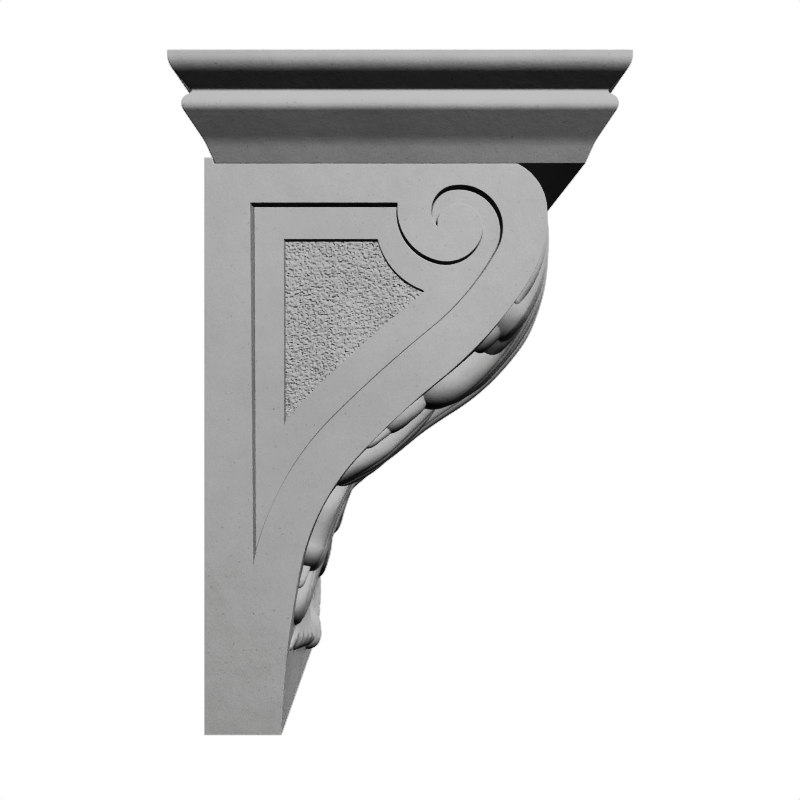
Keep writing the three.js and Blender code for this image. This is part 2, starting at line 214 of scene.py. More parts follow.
def on_front(down, across, height):
    """Points of the carving from arrays of distance down the front, place across and height."""
    out = np.interp(down, FRONT_DISTANCES, FRONT_TABLE[:, 0])
    up = np.interp(down, FRONT_DISTANCES, FRONT_TABLE[:, 1])
    angle = np.interp(down, FRONT_DISTANCES, FRONT_TABLE[:, 2])
    out = out - height * np.sin(angle)
    up = up + height * np.cos(angle)
    return np.stack([across + 0 * out, -out, up], axis=-1)


def new_object(name, points, faces):
    """An object in the scene from points in millimetres."""
    mesh = bpy.data.meshes.new(name)
    mesh.from_pydata([tuple(p) for p in np.asarray(points, float) * MM], [], faces)
    mesh.validate()
    made = bpy.data.objects.new(name, mesh)
    bpy.context.scene.collection.objects.link(made)
    return made


def volume(points, faces):
    """The volume inside closed faces, negative where they face inwards."""
    total = 0.0
    points = np.asarray(points, float)
    for face in faces:
        a = points[face[0]]
        for b, c in zip(face[1:-1], face[2:]):
            total += np.dot(a, np.cross(points[b], points[c]))
    return total / 6


def facing_out(points, faces):
    """The faces, turned round if they face inwards."""
    if volume(points, faces) < 0:
        return [tuple(reversed(face)) for face in faces]
    return faces


def loft(name, rings, fan_caps=True):
    """A closed body through rings of points of equal count."""
    rings = np.asarray(rings, float)
    count, sides = rings.shape[:2]
    points = list(rings.reshape(-1, 3))
    faces = []
    for ring in range(count - 1):
        for side in range(sides):
            a = ring * sides + side
            b = ring * sides + (side + 1) % sides
            faces.append((a, b, b + sides, a + sides))
    first = list(range(sides))
    last = list(range((count - 1) * sides, count * sides))
    if fan_caps:
        for ring, flip in ((first, True), (last, False)):
            points.append(np.mean([points[n] for n in ring], axis=0))
            hub = len(points) - 1
            for n in range(sides):
                a, b = ring[n], ring[(n + 1) % sides]
                faces.append((hub, b, a) if flip else (hub, a, b))
    else:
        faces.append(tuple(reversed(first)))
        faces.append(tuple(last))
    return new_object(name, points, facing_out(points, faces))


def combine(target, other, operation):
    """Applies a boolean of other to target, and removes other."""
    modifier = target.modifiers.new("combine", "BOOLEAN")
    modifier.operation = operation
    modifier.solver = "MANIFOLD"
    modifier.object = other
    graph = bpy.context.evaluated_depsgraph_get()
    result = bpy.data.meshes.new_from_object(target.evaluated_get(graph))
    target.modifiers.remove(modifier)
    old = target.data
    target.data = result
    bpy.data.meshes.remove(old)
    if len(result.polygons) == 0:
        raise RuntimeError(f"{operation} of {other.name} left nothing")
    bpy.data.objects.remove(other)
    return target


def inset(outline, distance):
    """The outline moved inwards, for a counterclockwise or clockwise ring of points."""
    points = np.asarray(outline, float)
    before = points - np.roll(points, 1, axis=0)
    after = np.roll(points, -1, axis=0) - points
    before /= np.linalg.norm(before, axis=1)[:, None]
    after /= np.linalg.norm(after, axis=1)[:, None]
    x, y = points[:, 0], points[:, 1]
    area = np.sum(x * np.roll(y, -1) - np.roll(x, -1) * y)
    hand = 1 if area > 0 else -1
    normal_before = hand * np.stack([-before[:, 1], before[:, 0]], axis=1)
    normal_after = hand * np.stack([-after[:, 1], after[:, 0]], axis=1)
    middle = normal_before + normal_after
    middle /= np.linalg.norm(middle, axis=1)[:, None]
    stretch = 1 / np.clip(np.sum(middle * normal_after, axis=1), MITRE_LIMIT, 1)
    return points + middle * (stretch * distance)[:, None]


def across_slab(name, outline, steps):
    """A body across the width from (place across, inset) steps of a side outline."""
    rings = []
    for across, amount in steps:
        ring = inset(outline, amount)
        rings.append(np.stack([np.full(len(ring), across), -ring[:, 0], ring[:, 1]], axis=1))
    return loft(name, rings, fan_caps=False)


def quarter_round(radius):
    """Points of a rounded arris, as (distance from one face, distance from the other)."""
    angles = [math.radians(degrees) for degrees in (0, 30, 60, 90)]
    return [(radius * (1 - math.sin(angle)), radius * (1 - math.cos(angle))) for angle in angles]


def side_outline():
    """The block seen from the side."""
    end = front.at(front.length)[0]
    points = [(0, BOTTOM), (end, BOTTOM)]
    points += list(reversed(front.points(FRONT_SAG)))
    points += [(LIP_FOOT, BODY_TOP), (LIP_TOP, BACK_TOP), (0, BACK_TOP)]
    return points


def block():
    """The block, with all the edges of its two side faces rounded."""
    half = WIDTH / 2
    lower = [(-half + inwards, amount) for inwards, amount in reversed(quarter_round(EDGE_ROUND))]
    upper = [(-across, amount) for across, amount in reversed(lower)]
    return across_slab("carved_body", side_outline(), lower + upper)


def sinking_outline():
    """The channel: along the top, round the scroll to its eye and down the band."""
    scroll = Path(SCROLL_START, SCROLL_HEADING, SCROLL_RUNS).points(FINE_SAG)
    scroll[-1] = (scroll[-1][0], SINKING_TOP)
    band = Path(BAND_START, BAND_HEADING, BAND_RUNS).points(FINE_SAG)
    return [(SINKING_LEFT, SINKING_TOP)] + list(reversed(scroll)) + band


def panel_outline():
    """The panel, which keeps its distance from the band and from the scroll."""
    band = Path(BAND_START, BAND_HEADING, BAND_RUNS)
    cx, cy = PANEL_ARC_CENTRE
    radius = PANEL_ARC_RADIUS
    lower = []
    distance = band.length
    while distance > 0:
        x, y = band.beside(distance, -PANEL_MARGIN)
        if math.hypot(x - cx, y - cy) > radius and x > PANEL_LEFT and y < PANEL_TOP:
            lower.append((x, y))
        distance -= PANEL_STEP
    points = [(PANEL_LEFT, PANEL_TOP), (PANEL_LEFT, lower[0][1] - PANEL_TOE)] + lower
    rise = PANEL_TOP - cy
    run = math.sqrt(radius**2 - rise**2)
    start = math.atan2(lower[-1][1] - cy, lower[-1][0] - cx) % (2 * math.pi)
    end = math.atan2(rise, -run) % (2 * math.pi)
    for cut in range(1, PANEL_ARC_CUTS + 1):
        angle = start + (end - start) * cut / PANEL_ARC_CUTS
        points.append((cx + radius * math.cos(angle), cy + radius * math.sin(angle)))
    return points


def stippled_box(hand, outline, floor):
    """A box that ends in a rough ground at the panel's floor."""
    outline = np.asarray(outline)
    low = outline.min(axis=0) - STIPPLE_MARGIN
    high = outline.max(axis=0) + STIPPLE_MARGIN
    outs = np.arange(low[0], high[0], STIPPLE_STEP)
    ups = np.arange(low[1], high[1], STIPPLE_STEP)
    shape = (len(outs), len(ups))
    rows, cols = shape
    random = np.random.RandomState(STIPPLE_SEED)
    soft = random.normal(size=shape)
    for axis in (0, 1):
        soft = soft + STIPPLE_BLUR * (np.roll(soft, 1, axis) + np.roll(soft, -1, axis))
    soft /= soft.std()
    ground = np.clip(soft, *STIPPLE_RANGE) * STIPPLE_HEIGHT
    grid_out, grid_up = np.meshgrid(outs, ups, indexing="ij")
    grid_out = grid_out + random.uniform(-STIPPLE_JITTER, STIPPLE_JITTER, shape) * STIPPLE_STEP
    grid_up = grid_up + random.uniform(-STIPPLE_JITTER, STIPPLE_JITTER, shape) * STIPPLE_STEP
    points = np.stack([hand * (floor + ground), -grid_out, grid_up], axis=-1).reshape(-1, 3)
    faces = []
    for row in range(rows - 1):
        for col in range(cols - 1):
            a = row * cols + col
            faces.append((a, a + 1, a + cols + 1, a + cols))
    border = list(range(cols))
    border += [row * cols + cols - 1 for row in range(1, rows)]
    border += [(rows - 1) * cols + col for col in range(cols - 2, -1, -1)]
    border += [row * cols for row in range(rows - 2, 0, -1)]
    base = len(points)
    lid = points[border]
    lid[:, 0] = hand * (floor + STIPPLE_BOX_DEPTH)
    points = np.concatenate([points, lid])
    for this in range(len(border)):
        after = (this + 1) % len(border)
        faces.append((border[after], border[this], base + this, base + after))
    faces.append(tuple(base + this for this in reversed(range(len(border)))))
    return new_object("ground", points, facing_out(points, faces))


def side_cutter(name, hand, outline, steps):
    """A cutter for one side from (place across, inset) steps for the side where across is positive."""
    return across_slab(name, outline, [(hand * across, amount) for across, amount in steps])


def cut_sides(body):
    """Cuts the channel with the fine line at its foot, and the stippled panel, into both sides."""
    face = WIDTH / 2
    floor = face - SINKING_DEPTH
    ground = floor - PANEL_DEPTH
    sinking = sinking_outline()
    panel = panel_outline()
    line = [(floor, LINE_WIDTH), (floor - LINE_DEPTH, LINE_MIDDLE), (floor, 0)]
    chamfer = [(-CHAMFER_DEPTH, 0), (PROUD, -CHAMFER_DEPTH - PROUD)]
    channel_steps = line + [(face + rise, amount) for rise, amount in chamfer]
    pocket_steps = [(ground - POCKET_BELOW, 0)] + [(floor + rise, amount) for rise, amount in chamfer]
    for hand in (-1, 1):
        combine(body, side_cutter("channel", hand, sinking, channel_steps), "DIFFERENCE")
        pocket = side_cutter("pocket", hand, panel, pocket_steps)
        combine(pocket, stippled_box(hand, panel, ground), "INTERSECT")
        combine(body, pocket, "DIFFERENCE")


def smooth_rows(rows, places):
    """Values at places along rows of (place, values), through a smooth curve."""
    rows = np.asarray(rows, float)
    at, values = rows[:, 0], rows[:, 1:]
    slopes = np.gradient(values, at, axis=0)
    places = np.clip(np.asarray(places, float), at[0], at[-1])
    index = np.clip(np.searchsorted(at, places, side="right") - 1, 0, len(at) - 2)
    span = at[index + 1] - at[index]
    t = ((places - at[index]) / span)[:, None]
    h00 = 2 * t**3 - 3 * t**2 + 1
    h10 = t**3 - 2 * t**2 + t
    h01 = -2 * t**3 + 3 * t**2
    h11 = t**3 - t**2
    span = span[:, None]
    return (
        h00 * values[index]
        + h10 * span * slopes[index]
        + h01 * values[index + 1]
        + h11 * span * slopes[index + 1]
    )


# The leaf's middle rib: rows of (down, height), and its half width, which tapers towards the foot
RIB_LINE = [
    (-60, 25),
    (0, 25),
    (48, 26),
    (72, 27.4),
    (98, 31.4),
    (126, 37.5),
    (162, 39),
    (204, 37.5),
    (232, 34.5),
    (260, 31.2),
    (302, 27.4),
    (344, 19.4),
    (362, 15),
    (384, 16.5),
    (405, 15.9),
    (424, 13.5),
    (442, 11),
    (470, 6),
    (490, 6),
    (531, 6),
]
LEAF_START = -40
RIB_END = 506
RIB_TAPER_END = 505
RIB_HALF_WIDTH = 9
RIB_TAPER = 0.4
RIB_SIDE = 0.72
RIB_ROUND = 0.28
RIB_SUNK = 3
RIB_SPREAD = 0.3
RIB_CUTS = 24

# The leaf's bed, which falls from the rib to the border
BED_SHARE = 0.38
BED_CURVE = 1.05
BED_END = 500
BED_CUTS = 49
ROW_STEP = 4.0
FIELD_ROWS = 200

# The block that cuts the leaf off level under the crown
ABOVE_FRONT = 500
ABOVE_BACK = 100
ABOVE_HEIGHT = 200


def rib_height(down):
    """The rib's height at one distance down."""
    return smooth_rows(RIB_LINE, [float(down)])[0, 0]


# How finely a lobe is cut: down its length, round its end, over its wall and lip, and across its top
LOBE_STEP = 4.5
LOBE_LEAST_ROWS = 6
NOSE_CUTS = 15
NOSE_LEFT_OPEN = 0.02
ROUND_CUTS = 10
TOP_CUTS = 9
FLUTE_CUTS = 8

# A lobe's grooves: how sharp they are, where on the wall they begin and the length over which they fade in
GROOVE_CURVE = 1.3
GROOVE_START = 0.5
GROOVE_FADE = 40

# The most of a lobe's width that its wall and lip may take, and the least that its measures may be
WALL_LIMIT = 0.5
LIP_LIMIT = 0.35
LEAST_WIDTH = 0.06
LEAST_SLOPE = 0.01
LEAST_START = 0.0004

# How a lobe stands in the block: its gap to the border, the height of its edges and its narrower root
BORDER_GAP = 0.4
LOBE_FOOT = -1.0
ROOT_SHARES = np.array([0.9, 0.1])


def lobe_places(rows, tip, bias, drop):
    """The places where a lobe is cut: its outer and its inner edge there, its (height, edge, slope),
    how far into the rounded end it is, as a share, and how far it is from the lobe's upper end."""
    middles = (rows[:, 0:2] + rows[:, 2:4]) / 2
    steps = np.r_[0, np.cumsum(np.hypot(*np.diff(middles, axis=0).T))]
    travelled = np.linspace(0, steps[-1], max(LOBE_LEAST_ROWS, int(steps[-1] / LOBE_STEP)))
    line = smooth_rows(np.column_stack([steps, rows]), travelled)
    places = [(row[0:2], row[2:4], row[4:7], 0.0) for row in line]
    last_outer = line[-1, 0:2]
    last_inner = line[-1, 2:4]
    centre = last_inner + bias * (last_outer - last_inner)
    turns = np.linspace(0, 1, NOSE_CUTS)[1:] * math.pi / 2
    turns[-1] -= NOSE_LEFT_OPEN
    for turn in turns:
        into = math.sin(turn)
        left = math.cos(turn)
        shift = (tip - centre) * into
        outer = centre + shift + (last_outer - centre) * left
        inner = centre + shift + (last_inner - centre) * left
        shape = rows[-1, 4:7] * np.array([(1 - into**drop) ** (1 / drop), 1, 1])
        places.append((outer, inner, shape, into))
    travelled = np.r_[travelled, steps[-1] + np.hypot(*(tip - centre)) * np.sin(turns)]
    return [(*place, distance) for place, distance in zip(places, travelled)]


def lobe_section(width, rise, fall, edge, slope, power, cuts):
    """Places across a lobe from its outer edge, and the share of its full height at each: up the
    wall, on over the slope and down the lip."""
    round_shares = 1 - np.cos(np.linspace(0, 1, ROUND_CUTS) * math.pi / 2)
    between = np.linspace(rise, width - fall, cuts + 2)[1:-1]
    gone = np.r_[rise * round_shares, between, width - fall * round_shares[::-1]]
    up = np.clip(1 - np.clip(1 - gone / rise, 0, 1) ** power, 0, 1) ** (1 / power)
    run = max(min(slope, width - rise - fall), LEAST_SLOPE)
    eased = np.clip((gone - rise) / run, 0, 1)
    up = edge * up + (1 - edge) * eased * (2 - eased)
    up *= np.sqrt(np.clip(1 - np.clip((gone - (width - fall)) / fall, 0, 1) ** 2, 0, 1))
    return gone, up


def grooves(gone, width, rise, flutes):
    """How deep the grooves between a lobe's rounded flutes are at places across it, as shares."""
    share = np.clip((gone - rise * GROOVE_START) / (width - rise * GROOVE_START), 0, 1)
    return (1 - np.abs(np.cos(math.pi * flutes * share))) ** GROOVE_CURVE


def lobe(name, rows, tip, hand=1, bias=0.8, drop=1.9, wall=10.0, edge=1.0, slope=12.0, lip=5.0,
         power=2.0, flutes=0, groove=0.0, start=0.0):
    """A lobe of the leaf from rows of (down, across) of its outer edge, (down, across) of its inner
    edge and its height, with a row's own edge and slope after them where they differ.

    wall, edge and slope say how the outer side rises: to the share edge of the height over wall, with
    a roundness of power, then to all of it over slope. lip is the width over which the inner side
    falls. The end is rounded about the share bias between the edges, out to the tip, and is blunter
    the larger drop is. flutes is the number of grooves along the top, groove their depth, and start
    the length over which the lobe's upper end rises.
    """
    rows = np.asarray([tuple(row) + (edge, slope)[len(row) - 5 :] for row in rows], float)
    places = lobe_places(rows, np.asarray(tip, float), bias, drop)
    cuts = TOP_CUTS + FLUTE_CUTS * flutes
    rings = []
    for outer, inner, (height, edge, slope), into, distance in places:
        width = max(math.hypot(*(outer - inner)), LEAST_WIDTH)
        rise = min(wall, WALL_LIMIT * width)
        fall = min(lip, LIP_LIMIT * width)
        gone, up = lobe_section(width, rise, fall, edge, slope, power, cuts)
        level = height
        if start > 0:
            level = height * math.sqrt(max(1 - (1 - min(distance / start, 1)) ** 2, LEAST_START))
        hollow = grooves(gone, width, rise, flutes) * math.sqrt(1 - into**2)
        top = level * up - groove * hollow * min(1, distance / GROOVE_FADE)
        top[0] = top[-1] = LOBE_FOOT
        down = outer[0] + (inner[0] - outer[0]) * gone / width
        across = outer[1] + (inner[1] - outer[1]) * gone / width
        down = np.r_[down, outer[0] + (inner[0] - outer[0]) * ROOT_SHARES]
        across = np.r_[across, outer[1] + (inner[1] - outer[1]) * ROOT_SHARES]
        top = np.r_[top, -ROOTED, -ROOTED]
        rings.append(on_front(down, hand * np.minimum(across, FIELD_HALF - BORDER_GAP), top))
    return loft(name, rings)


# The leaf's curled lower end: its edge falls back to the border in round tongues
FRINGE_FOOT = 531
FRINGE_FALL = 27
FRINGE_HALF = 114
FRINGE_TOP = 436
FRINGE_RISE = 30
FRINGE_BEND = 1.5
FRINGE_TOP_HALF = 84
FRINGE_HEIGHT = 3.5
FRINGE_LOSS = 0.65
FRINGE_EDGE = 4.2
FRINGE_SLOPE = 36
FRINGE_SLOPE_LOSS = 8
FRINGE_ROWS = 64
FRINGE_OVERLAP = -0.05
TONGUES = 4.5
NOTCH = 7
NOTCH_CURVE = 1.6
NOTCH_HEIGHT = 0.8


def fringe_rows():
    """Rows of the leaf's curled lower end, from the middle to the border."""
    rows = []
    for share in np.linspace(FRINGE_OVERLAP, 1, FRINGE_ROWS):
        past = max(share, 0)
        notch = (1 - abs(math.cos(math.pi * TONGUES * past))) ** NOTCH_CURVE
        outer = (FRINGE_FOOT - FRINGE_FALL * past - NOTCH * notch, FRINGE_HALF * share)
        inner = (FRINGE_TOP + FRINGE_RISE * past**FRINGE_BEND, FRINGE_TOP_HALF * share)
        height = (FRINGE_HEIGHT - NOTCH_HEIGHT * notch) * (1 - FRINGE_LOSS * share)
        slope = FRINGE_SLOPE - FRINGE_SLOPE_LOSS * past
        rows.append((*outer, *inner, height, FRINGE_EDGE, slope))
    return rows


# The leaf's lobes on one half: four that come down from the crown, then those below them, of which
# three spread from the rib, then the lower end and the stem strip beside the rib
LOBES = [
    dict(
        wall=9, lip=4, bias=0.5, drop=5, tip=(131, 126),
        rows=[
            (10, 133, 10, 124, 2.5), (60, 132.5, 60, 122, 5),
            (100, 132, 100, 120, 6.5), (124, 131, 124, 119, 6.5),
        ],
    ),
    dict(
        wall=5, lip=4, power=1.5, bias=0.25, drop=3.2, tip=(168, 106),
        rows=[
            (-10, 122, -10, 90, 5, 0.6, 16), (50, 123, 50, 92, 8.3, 0.7, 16),
            (84, 124, 84, 92, 12.5, 0.72, 16), (110, 127, 112, 94, 17, 0.74, 16),
            (130, 130, 134, 96, 19.5, 0.76, 16),
        ],
    ),
    dict(
        wall=8, lip=6, edge=0.5, slope=18, bias=0.25, drop=3.0, tip=(187, 102),
        rows=[
            (-10, 108, -10, 66, 5), (50, 112, 50, 68, 7.5),
            (100, 116, 98, 76, 17), (140, 124, 140, 84, 21.5),
        ],
    ),
    dict(
        wall=26, lip=11, bias=0.6, drop=2.3, flutes=4, groove=2.2, tip=(248, 92),
        rows=[
            (-10, 90, -10, 12, 15, 0.35, 76), (50, 92, 50, 12, 17.5, 0.4, 76),
            (90, 94, 90, 12, 26, 0.55, 76), (125, 98, 118, 12, 31, 0.7, 76),
            (165, 108, 138, 12, 33, 0.78, 76), (195, 121, 152, 12, 33, 0.8, 76),
            (212, 126, 160, 13, 33, 0.8, 76),
        ],
    ),
    dict(
        wall=9, lip=8, bias=0.4, start=9, drop=2.4, tip=(288, 122),
        rows=[(240, 126, 236, 106, 9), (255, 130, 250, 108, 11.5), (264, 132, 262, 110, 11)],
    ),
    dict(
        wall=5, lip=3, bias=0.5, tip=(308, 130),
        rows=[(275, 127, 272, 116, 6), (288, 131, 286, 121, 6.5), (297, 133, 296, 125, 5)],
    ),
    dict(
        wall=14, lip=4, flutes=3, groove=1.8, bias=0.3, drop=1.5, tip=(352, 116),
        rows=[
            (205, 16, 236, 12, 18, 0.85, 20), (232, 46, 262, 16, 24.5, 0.85, 20),
            (262, 80, 292, 40, 25.5, 0.85, 20), (290, 110, 318, 68, 22.5, 0.9, 20),
        ],
    ),
    dict(
        wall=12, lip=6, flutes=3, groove=1.8, bias=0.35, drop=2.4, tip=(434, 112),
        rows=[
            (292, 16, 322, 10, 9, 0.85, 20), (318, 56, 345, 18, 10.5, 0.85, 20),
            (342, 100, 370, 36, 12.5, 0.85, 20), (362, 130, 392, 58, 15, 0.85, 20),
            (402, 133, 414, 86, 16.5, 0.9, 20),
        ],
    ),
    dict(
        wall=5, lip=3, bias=0.5, tip=(445, 130),
        rows=[(415, 120, 411, 106, 5), (427, 129, 425, 116, 6.5), (436, 133, 435, 123, 5)],
    ),
    dict(
        wall=12, lip=6, flutes=3, groove=1.6, bias=0.35, drop=2.0, tip=(482, 110),
        rows=[
            (356, 16, 384, 9, 10, 0.85, 16), (384, 54, 404, 16, 10.5, 0.85, 16),
            (410, 94, 428, 34, 10.5, 0.85, 16), (442, 130, 454, 64, 10.5, 0.9, 16),
        ],
    ),
    dict(wall=12, lip=10, bias=0.6, drop=2.0, tip=(492, 132), rows=fringe_rows()),
    dict(
        wall=5, lip=5, drop=2, tip=(430, 20),
        rows=[
            (-10, 20, -10, 8, 15), (50, 20, 50, 8, 17), (100, 21, 100, 8, 25.5),
            (150, 22, 150, 8, 32), (190, 22, 190, 8, 32), (250, 23, 250, 9, 27),
            (310, 25, 310, 10, 20), (350, 27, 350, 12, 15.5), (395, 27, 395, 12, 13),
        ],
    ),
]

# The curled tip in the middle of the leaf's lower end
LEAF_TIP = dict(
    wall=9, lip=9, bias=0.5, drop=2.5, tip=(534, 0),
    rows=[(470, 9, 470, -9, 5), (490, 11, 490, -11, 7), (506, 13, 506, -13, 14.5), (518, 12, 518, -12, 17)],
)


def bed(name):
    """The low ground of the leaf, highest at the rib."""
    rings = []
    across = np.linspace(-FIELD_HALF, FIELD_HALF, BED_CUTS)
    share = np.abs(across) / FIELD_HALF
    edges = np.array([FIELD_HALF, -FIELD_HALF])
    for down in np.arange(LEAF_START, BED_END, ROW_STEP):
        rise = BED_SHARE * rib_height(down) * (1 - share**BED_CURVE)
        top = on_front(np.full(BED_CUTS, down), across, rise)
        low = on_front(np.full(2, down), edges, np.full(2, -ROOTED))
        rings.append(np.concatenate([top, low]))
    return loft(name, rings)


def field(name):
    """The plain field between the borders: a low ridge."""
    rings = []
    across = np.array([-FIELD_HALF, 0, FIELD_HALF, 0])
    height = np.array([0, FIELD_RISE, 0, -ROOTED])
    for down in np.linspace(0, front.length - FOOT_BORDER, FIELD_ROWS):
        rings.append(on_front(np.full(4, down), across, height))
    return loft(name, rings)


def rib(name):
    """The leaf's rounded middle rib."""
    rings = []
    angles = np.linspace(0, 2 * math.pi, RIB_CUTS, endpoint=False)
    upper = np.clip(np.sin(angles), 0, None)
    lower = np.clip(-np.sin(angles), 0, None)
    for down in np.arange(LEAF_START, RIB_END, ROW_STEP):
        height = rib_height(down)
        side = height * RIB_SIDE
        half = RIB_HALF_WIDTH * (1 - RIB_TAPER * max(0, down) / RIB_TAPER_END)
        rise = side + height * RIB_ROUND * upper - (side + RIB_SUNK) * lower
        spread = half * np.cos(angles) * (1 + RIB_SPREAD * lower)
        rings.append(on_front(np.full(RIB_CUTS, down), spread, rise))
    return loft(name, rings)


def block_above(name, level):
    """A block that holds all of the carving above a level."""
    corners = []
    for x in (-WIDTH, WIDTH):
        for y in (-ABOVE_FRONT, ABOVE_BACK):
            corners += [(x, y, level), (x, y, level + ABOVE_HEIGHT)]
    faces = [(0, 1, 3, 2), (4, 6, 7, 5), (0, 4, 5, 1), (2, 3, 7, 6), (0, 2, 6, 4), (1, 5, 7, 3)]
    return new_object(name, corners, facing_out(corners, faces))


def leaf():
    """The whole carving of the front, cut off level where the crown sits on it."""
    made = bed("leaf")
    combine(made, field("field"), "UNION")
    combine(made, rib("rib"), "UNION")
    for shape in LOBES:
        for hand in (-1, 1):
            combine(made, lobe("lobe", hand=hand, **shape), "UNION")
    combine(made, lobe("leaf_tip", **LEAF_TIP), "UNION")
    combine(made, block_above("above", BODY_TOP), "DIFFERENCE")
    return made


def crown():
    """The square crown: its profile at every level of a square with slightly rounded corners."""
    run = Path((CROWN_OVERHANG, CROWN_TOP), -90, CROWN_RUNS).points(FINE_SAG)
    (x0, y0), (x1, y1) = run[-2:]
    run.append((x1 + (x1 - x0) / (y1 - y0) * (CROWN_FOOT - y1), CROWN_FOOT))
    arris = quarter_round(CROWN_ARRIS)
    top = [(CROWN_OVERHANG - inwards, CROWN_TOP - below) for inwards, below in arris]
    rings = []
    for overhang, up in top + run[1:]:
        inner = WIDTH / 2 + overhang - CROWN_CORNER
        ring = []
        for quadrant in range(4):
            cx = inner if quadrant in (0, 3) else -inner
            cy = inner if quadrant in (0, 1) else -inner
            for cut in range(CROWN_CORNER_CUTS + 1):
                angle = quadrant * math.pi / 2 + cut * math.pi / (2 * CROWN_CORNER_CUTS)
                x = cx + CROWN_CORNER * math.cos(angle)
                y = cy + CROWN_CORNER * math.sin(angle) - CROWN_CENTRE
                ring.append((x, y, up))
        rings.append(ring)
    return loft("square_crown", rings, fan_caps=False)


# The stone's patterns from broad to fine, as the scale of their noise per metre, and depths in metres
CLOUDS = 8
WORN_PATCHES = 35
BLOTCHES = 55
SHEEN = 60
UNEVENNESS = 70
PORES = 420
TOOTH = 800
GRAIN = 950
UNEVENNESS_DEPTH = 0.0012
TOOTH_DEPTH = 0.0004
WEAR_REACH = 0.0011


def stone_material(name):
    """Matt grey cast stone."""
    material = bpy.data.materials.new(name)
    material.use_nodes = True
    nodes = material.node_tree.nodes
    links = material.node_tree.links
    shader = nodes["Principled BSDF"]
    place = nodes.new("ShaderNodeTexCoord")

    def noise(scale, detail, rough=0.6):
        node = nodes.new("ShaderNodeTexNoise")
        node.inputs["Scale"].default_value = scale
        node.inputs["Detail"].default_value = detail
        node.inputs["Roughness"].default_value = rough
        links.new(place.outputs["Object"], node.inputs["Vector"])
        return node.outputs["Fac"]

    def ramp(value, stops):
        node = nodes.new("ShaderNodeValToRGB")
        node.color_ramp.elements[0].position = stops[0][0]
        node.color_ramp.elements[0].color = (*stops[0][1], 1)
        node.color_ramp.elements[1].position = stops[-1][0]
        node.color_ramp.elements[1].color = (*stops[-1][1], 1)
        for position, color in stops[1:-1]:
            element = node.color_ramp.elements.new(position)
            element.color = (*color, 1)
        links.new(value, node.inputs["Fac"])
        return node.outputs["Color"]

    def mix(factor, a, b, kind="MIX"):
        node = nodes.new("ShaderNodeMix")
        node.data_type = "RGBA"
        node.blend_type = kind
        node.inputs["Factor"].default_value = factor if isinstance(factor, float) else 0
        if not isinstance(factor, float):
            links.new(factor, node.inputs["Factor"])
        links.new(a, node.inputs["A"])
        links.new(b, node.inputs["B"])
        return node.outputs["Result"]

    def level(value, low, high, to_low, to_high):
        node = nodes.new("ShaderNodeMapRange")
        node.inputs["From Min"].default_value = low
        node.inputs["From Max"].default_value = high
        node.inputs["To Min"].default_value = to_low
        node.inputs["To Max"].default_value = to_high
        links.new(value, node.inputs["Value"])
        return node.outputs["Result"]

    def grey(value, blue=0.0):
        return (value, value, value + blue)

    # Colour: broad clouds, blotches, fine grain and a few dark pores
    cloudy = ramp(noise(CLOUDS, 5), [(0.3, grey(0.41, -0.004)), (0.7, grey(0.455, 0.002))])
    blotchy = ramp(noise(BLOTCHES, 4), [(0.3, grey(0.965)), (0.7, grey(1.0))])
    grain = ramp(noise(GRAIN, 2), [(0.3, grey(0.91)), (0.7, grey(1.0))])
    pores = ramp(noise(PORES, 1), [(0.22, grey(0.72)), (0.3, grey(1.0))])
    color = mix(1.0, cloudy, blotchy, "MULTIPLY")
    color = mix(1.0, color, grain, "MULTIPLY")
    color = mix(1.0, color, pores, "MULTIPLY")

    # Wear: the edges are rubbed a little paler, in patches
    rounded = nodes.new("ShaderNodeBevel")
    rounded.samples = 4
    rounded.inputs["Radius"].default_value = WEAR_REACH
    geometry = nodes.new("ShaderNodeNewGeometry")
    agree = nodes.new("ShaderNodeVectorMath")
    agree.operation = "DOT_PRODUCT"
    links.new(rounded.outputs["Normal"], agree.inputs[0])
    links.new(geometry.outputs["Normal"], agree.inputs[1])
    edge = level(agree.outputs["Value"], 0.99, 0.85, 0.0, 1.0)
    patch = level(noise(WORN_PATCHES, 3), 0.4, 0.62, 0.0, 0.55)
    worn = nodes.new("ShaderNodeMath")
    worn.operation = "MULTIPLY"
    links.new(edge, worn.inputs[0])
    links.new(patch, worn.inputs[1])
    pale = ramp(noise(GRAIN, 2), [(0.3, grey(0.52)), (0.7, grey(0.58))])
    links.new(mix(worn.outputs[0], color, pale), shader.inputs["Base Color"])

    # Surface: matt, with a fine sandy tooth and soft unevenness
    links.new(level(noise(SHEEN, 4), 0.3, 0.7, 0.66, 0.84), shader.inputs["Roughness"])
    shader.inputs["Specular IOR Level"].default_value = 0.3
    uneven = nodes.new("ShaderNodeBump")
    uneven.inputs["Strength"].default_value = 0.2
    uneven.inputs["Distance"].default_value = UNEVENNESS_DEPTH
    links.new(noise(UNEVENNESS, 3), uneven.inputs["Height"])
    sandy = nodes.new("ShaderNodeBump")
    sandy.inputs["Strength"].default_value = 0.3
    sandy.inputs["Distance"].default_value = TOOTH_DEPTH
    links.new(noise(TOOTH, 4), sandy.inputs["Height"])
    links.new(uneven.outputs["Normal"], sandy.inputs["Normal"])
    links.new(sandy.outputs["Normal"], shader.inputs["Normal"])
    return material


def finish_mesh(made, material):
    """Smooth shading but for sharp edges, and the material."""
    mesh = made.data
    mesh.polygons.foreach_set("use_smooth", [True] * len(mesh.polygons))
    mesh.set_sharp_from_angle(angle=math.radians(SHARP_FROM))
    mesh.materials.clear()
    mesh.materials.append(material)
    weighted = made.modifiers.new("weighted", "WEIGHTED_NORMAL")
    weighted.keep_sharp = True
    weighted.weight = 100


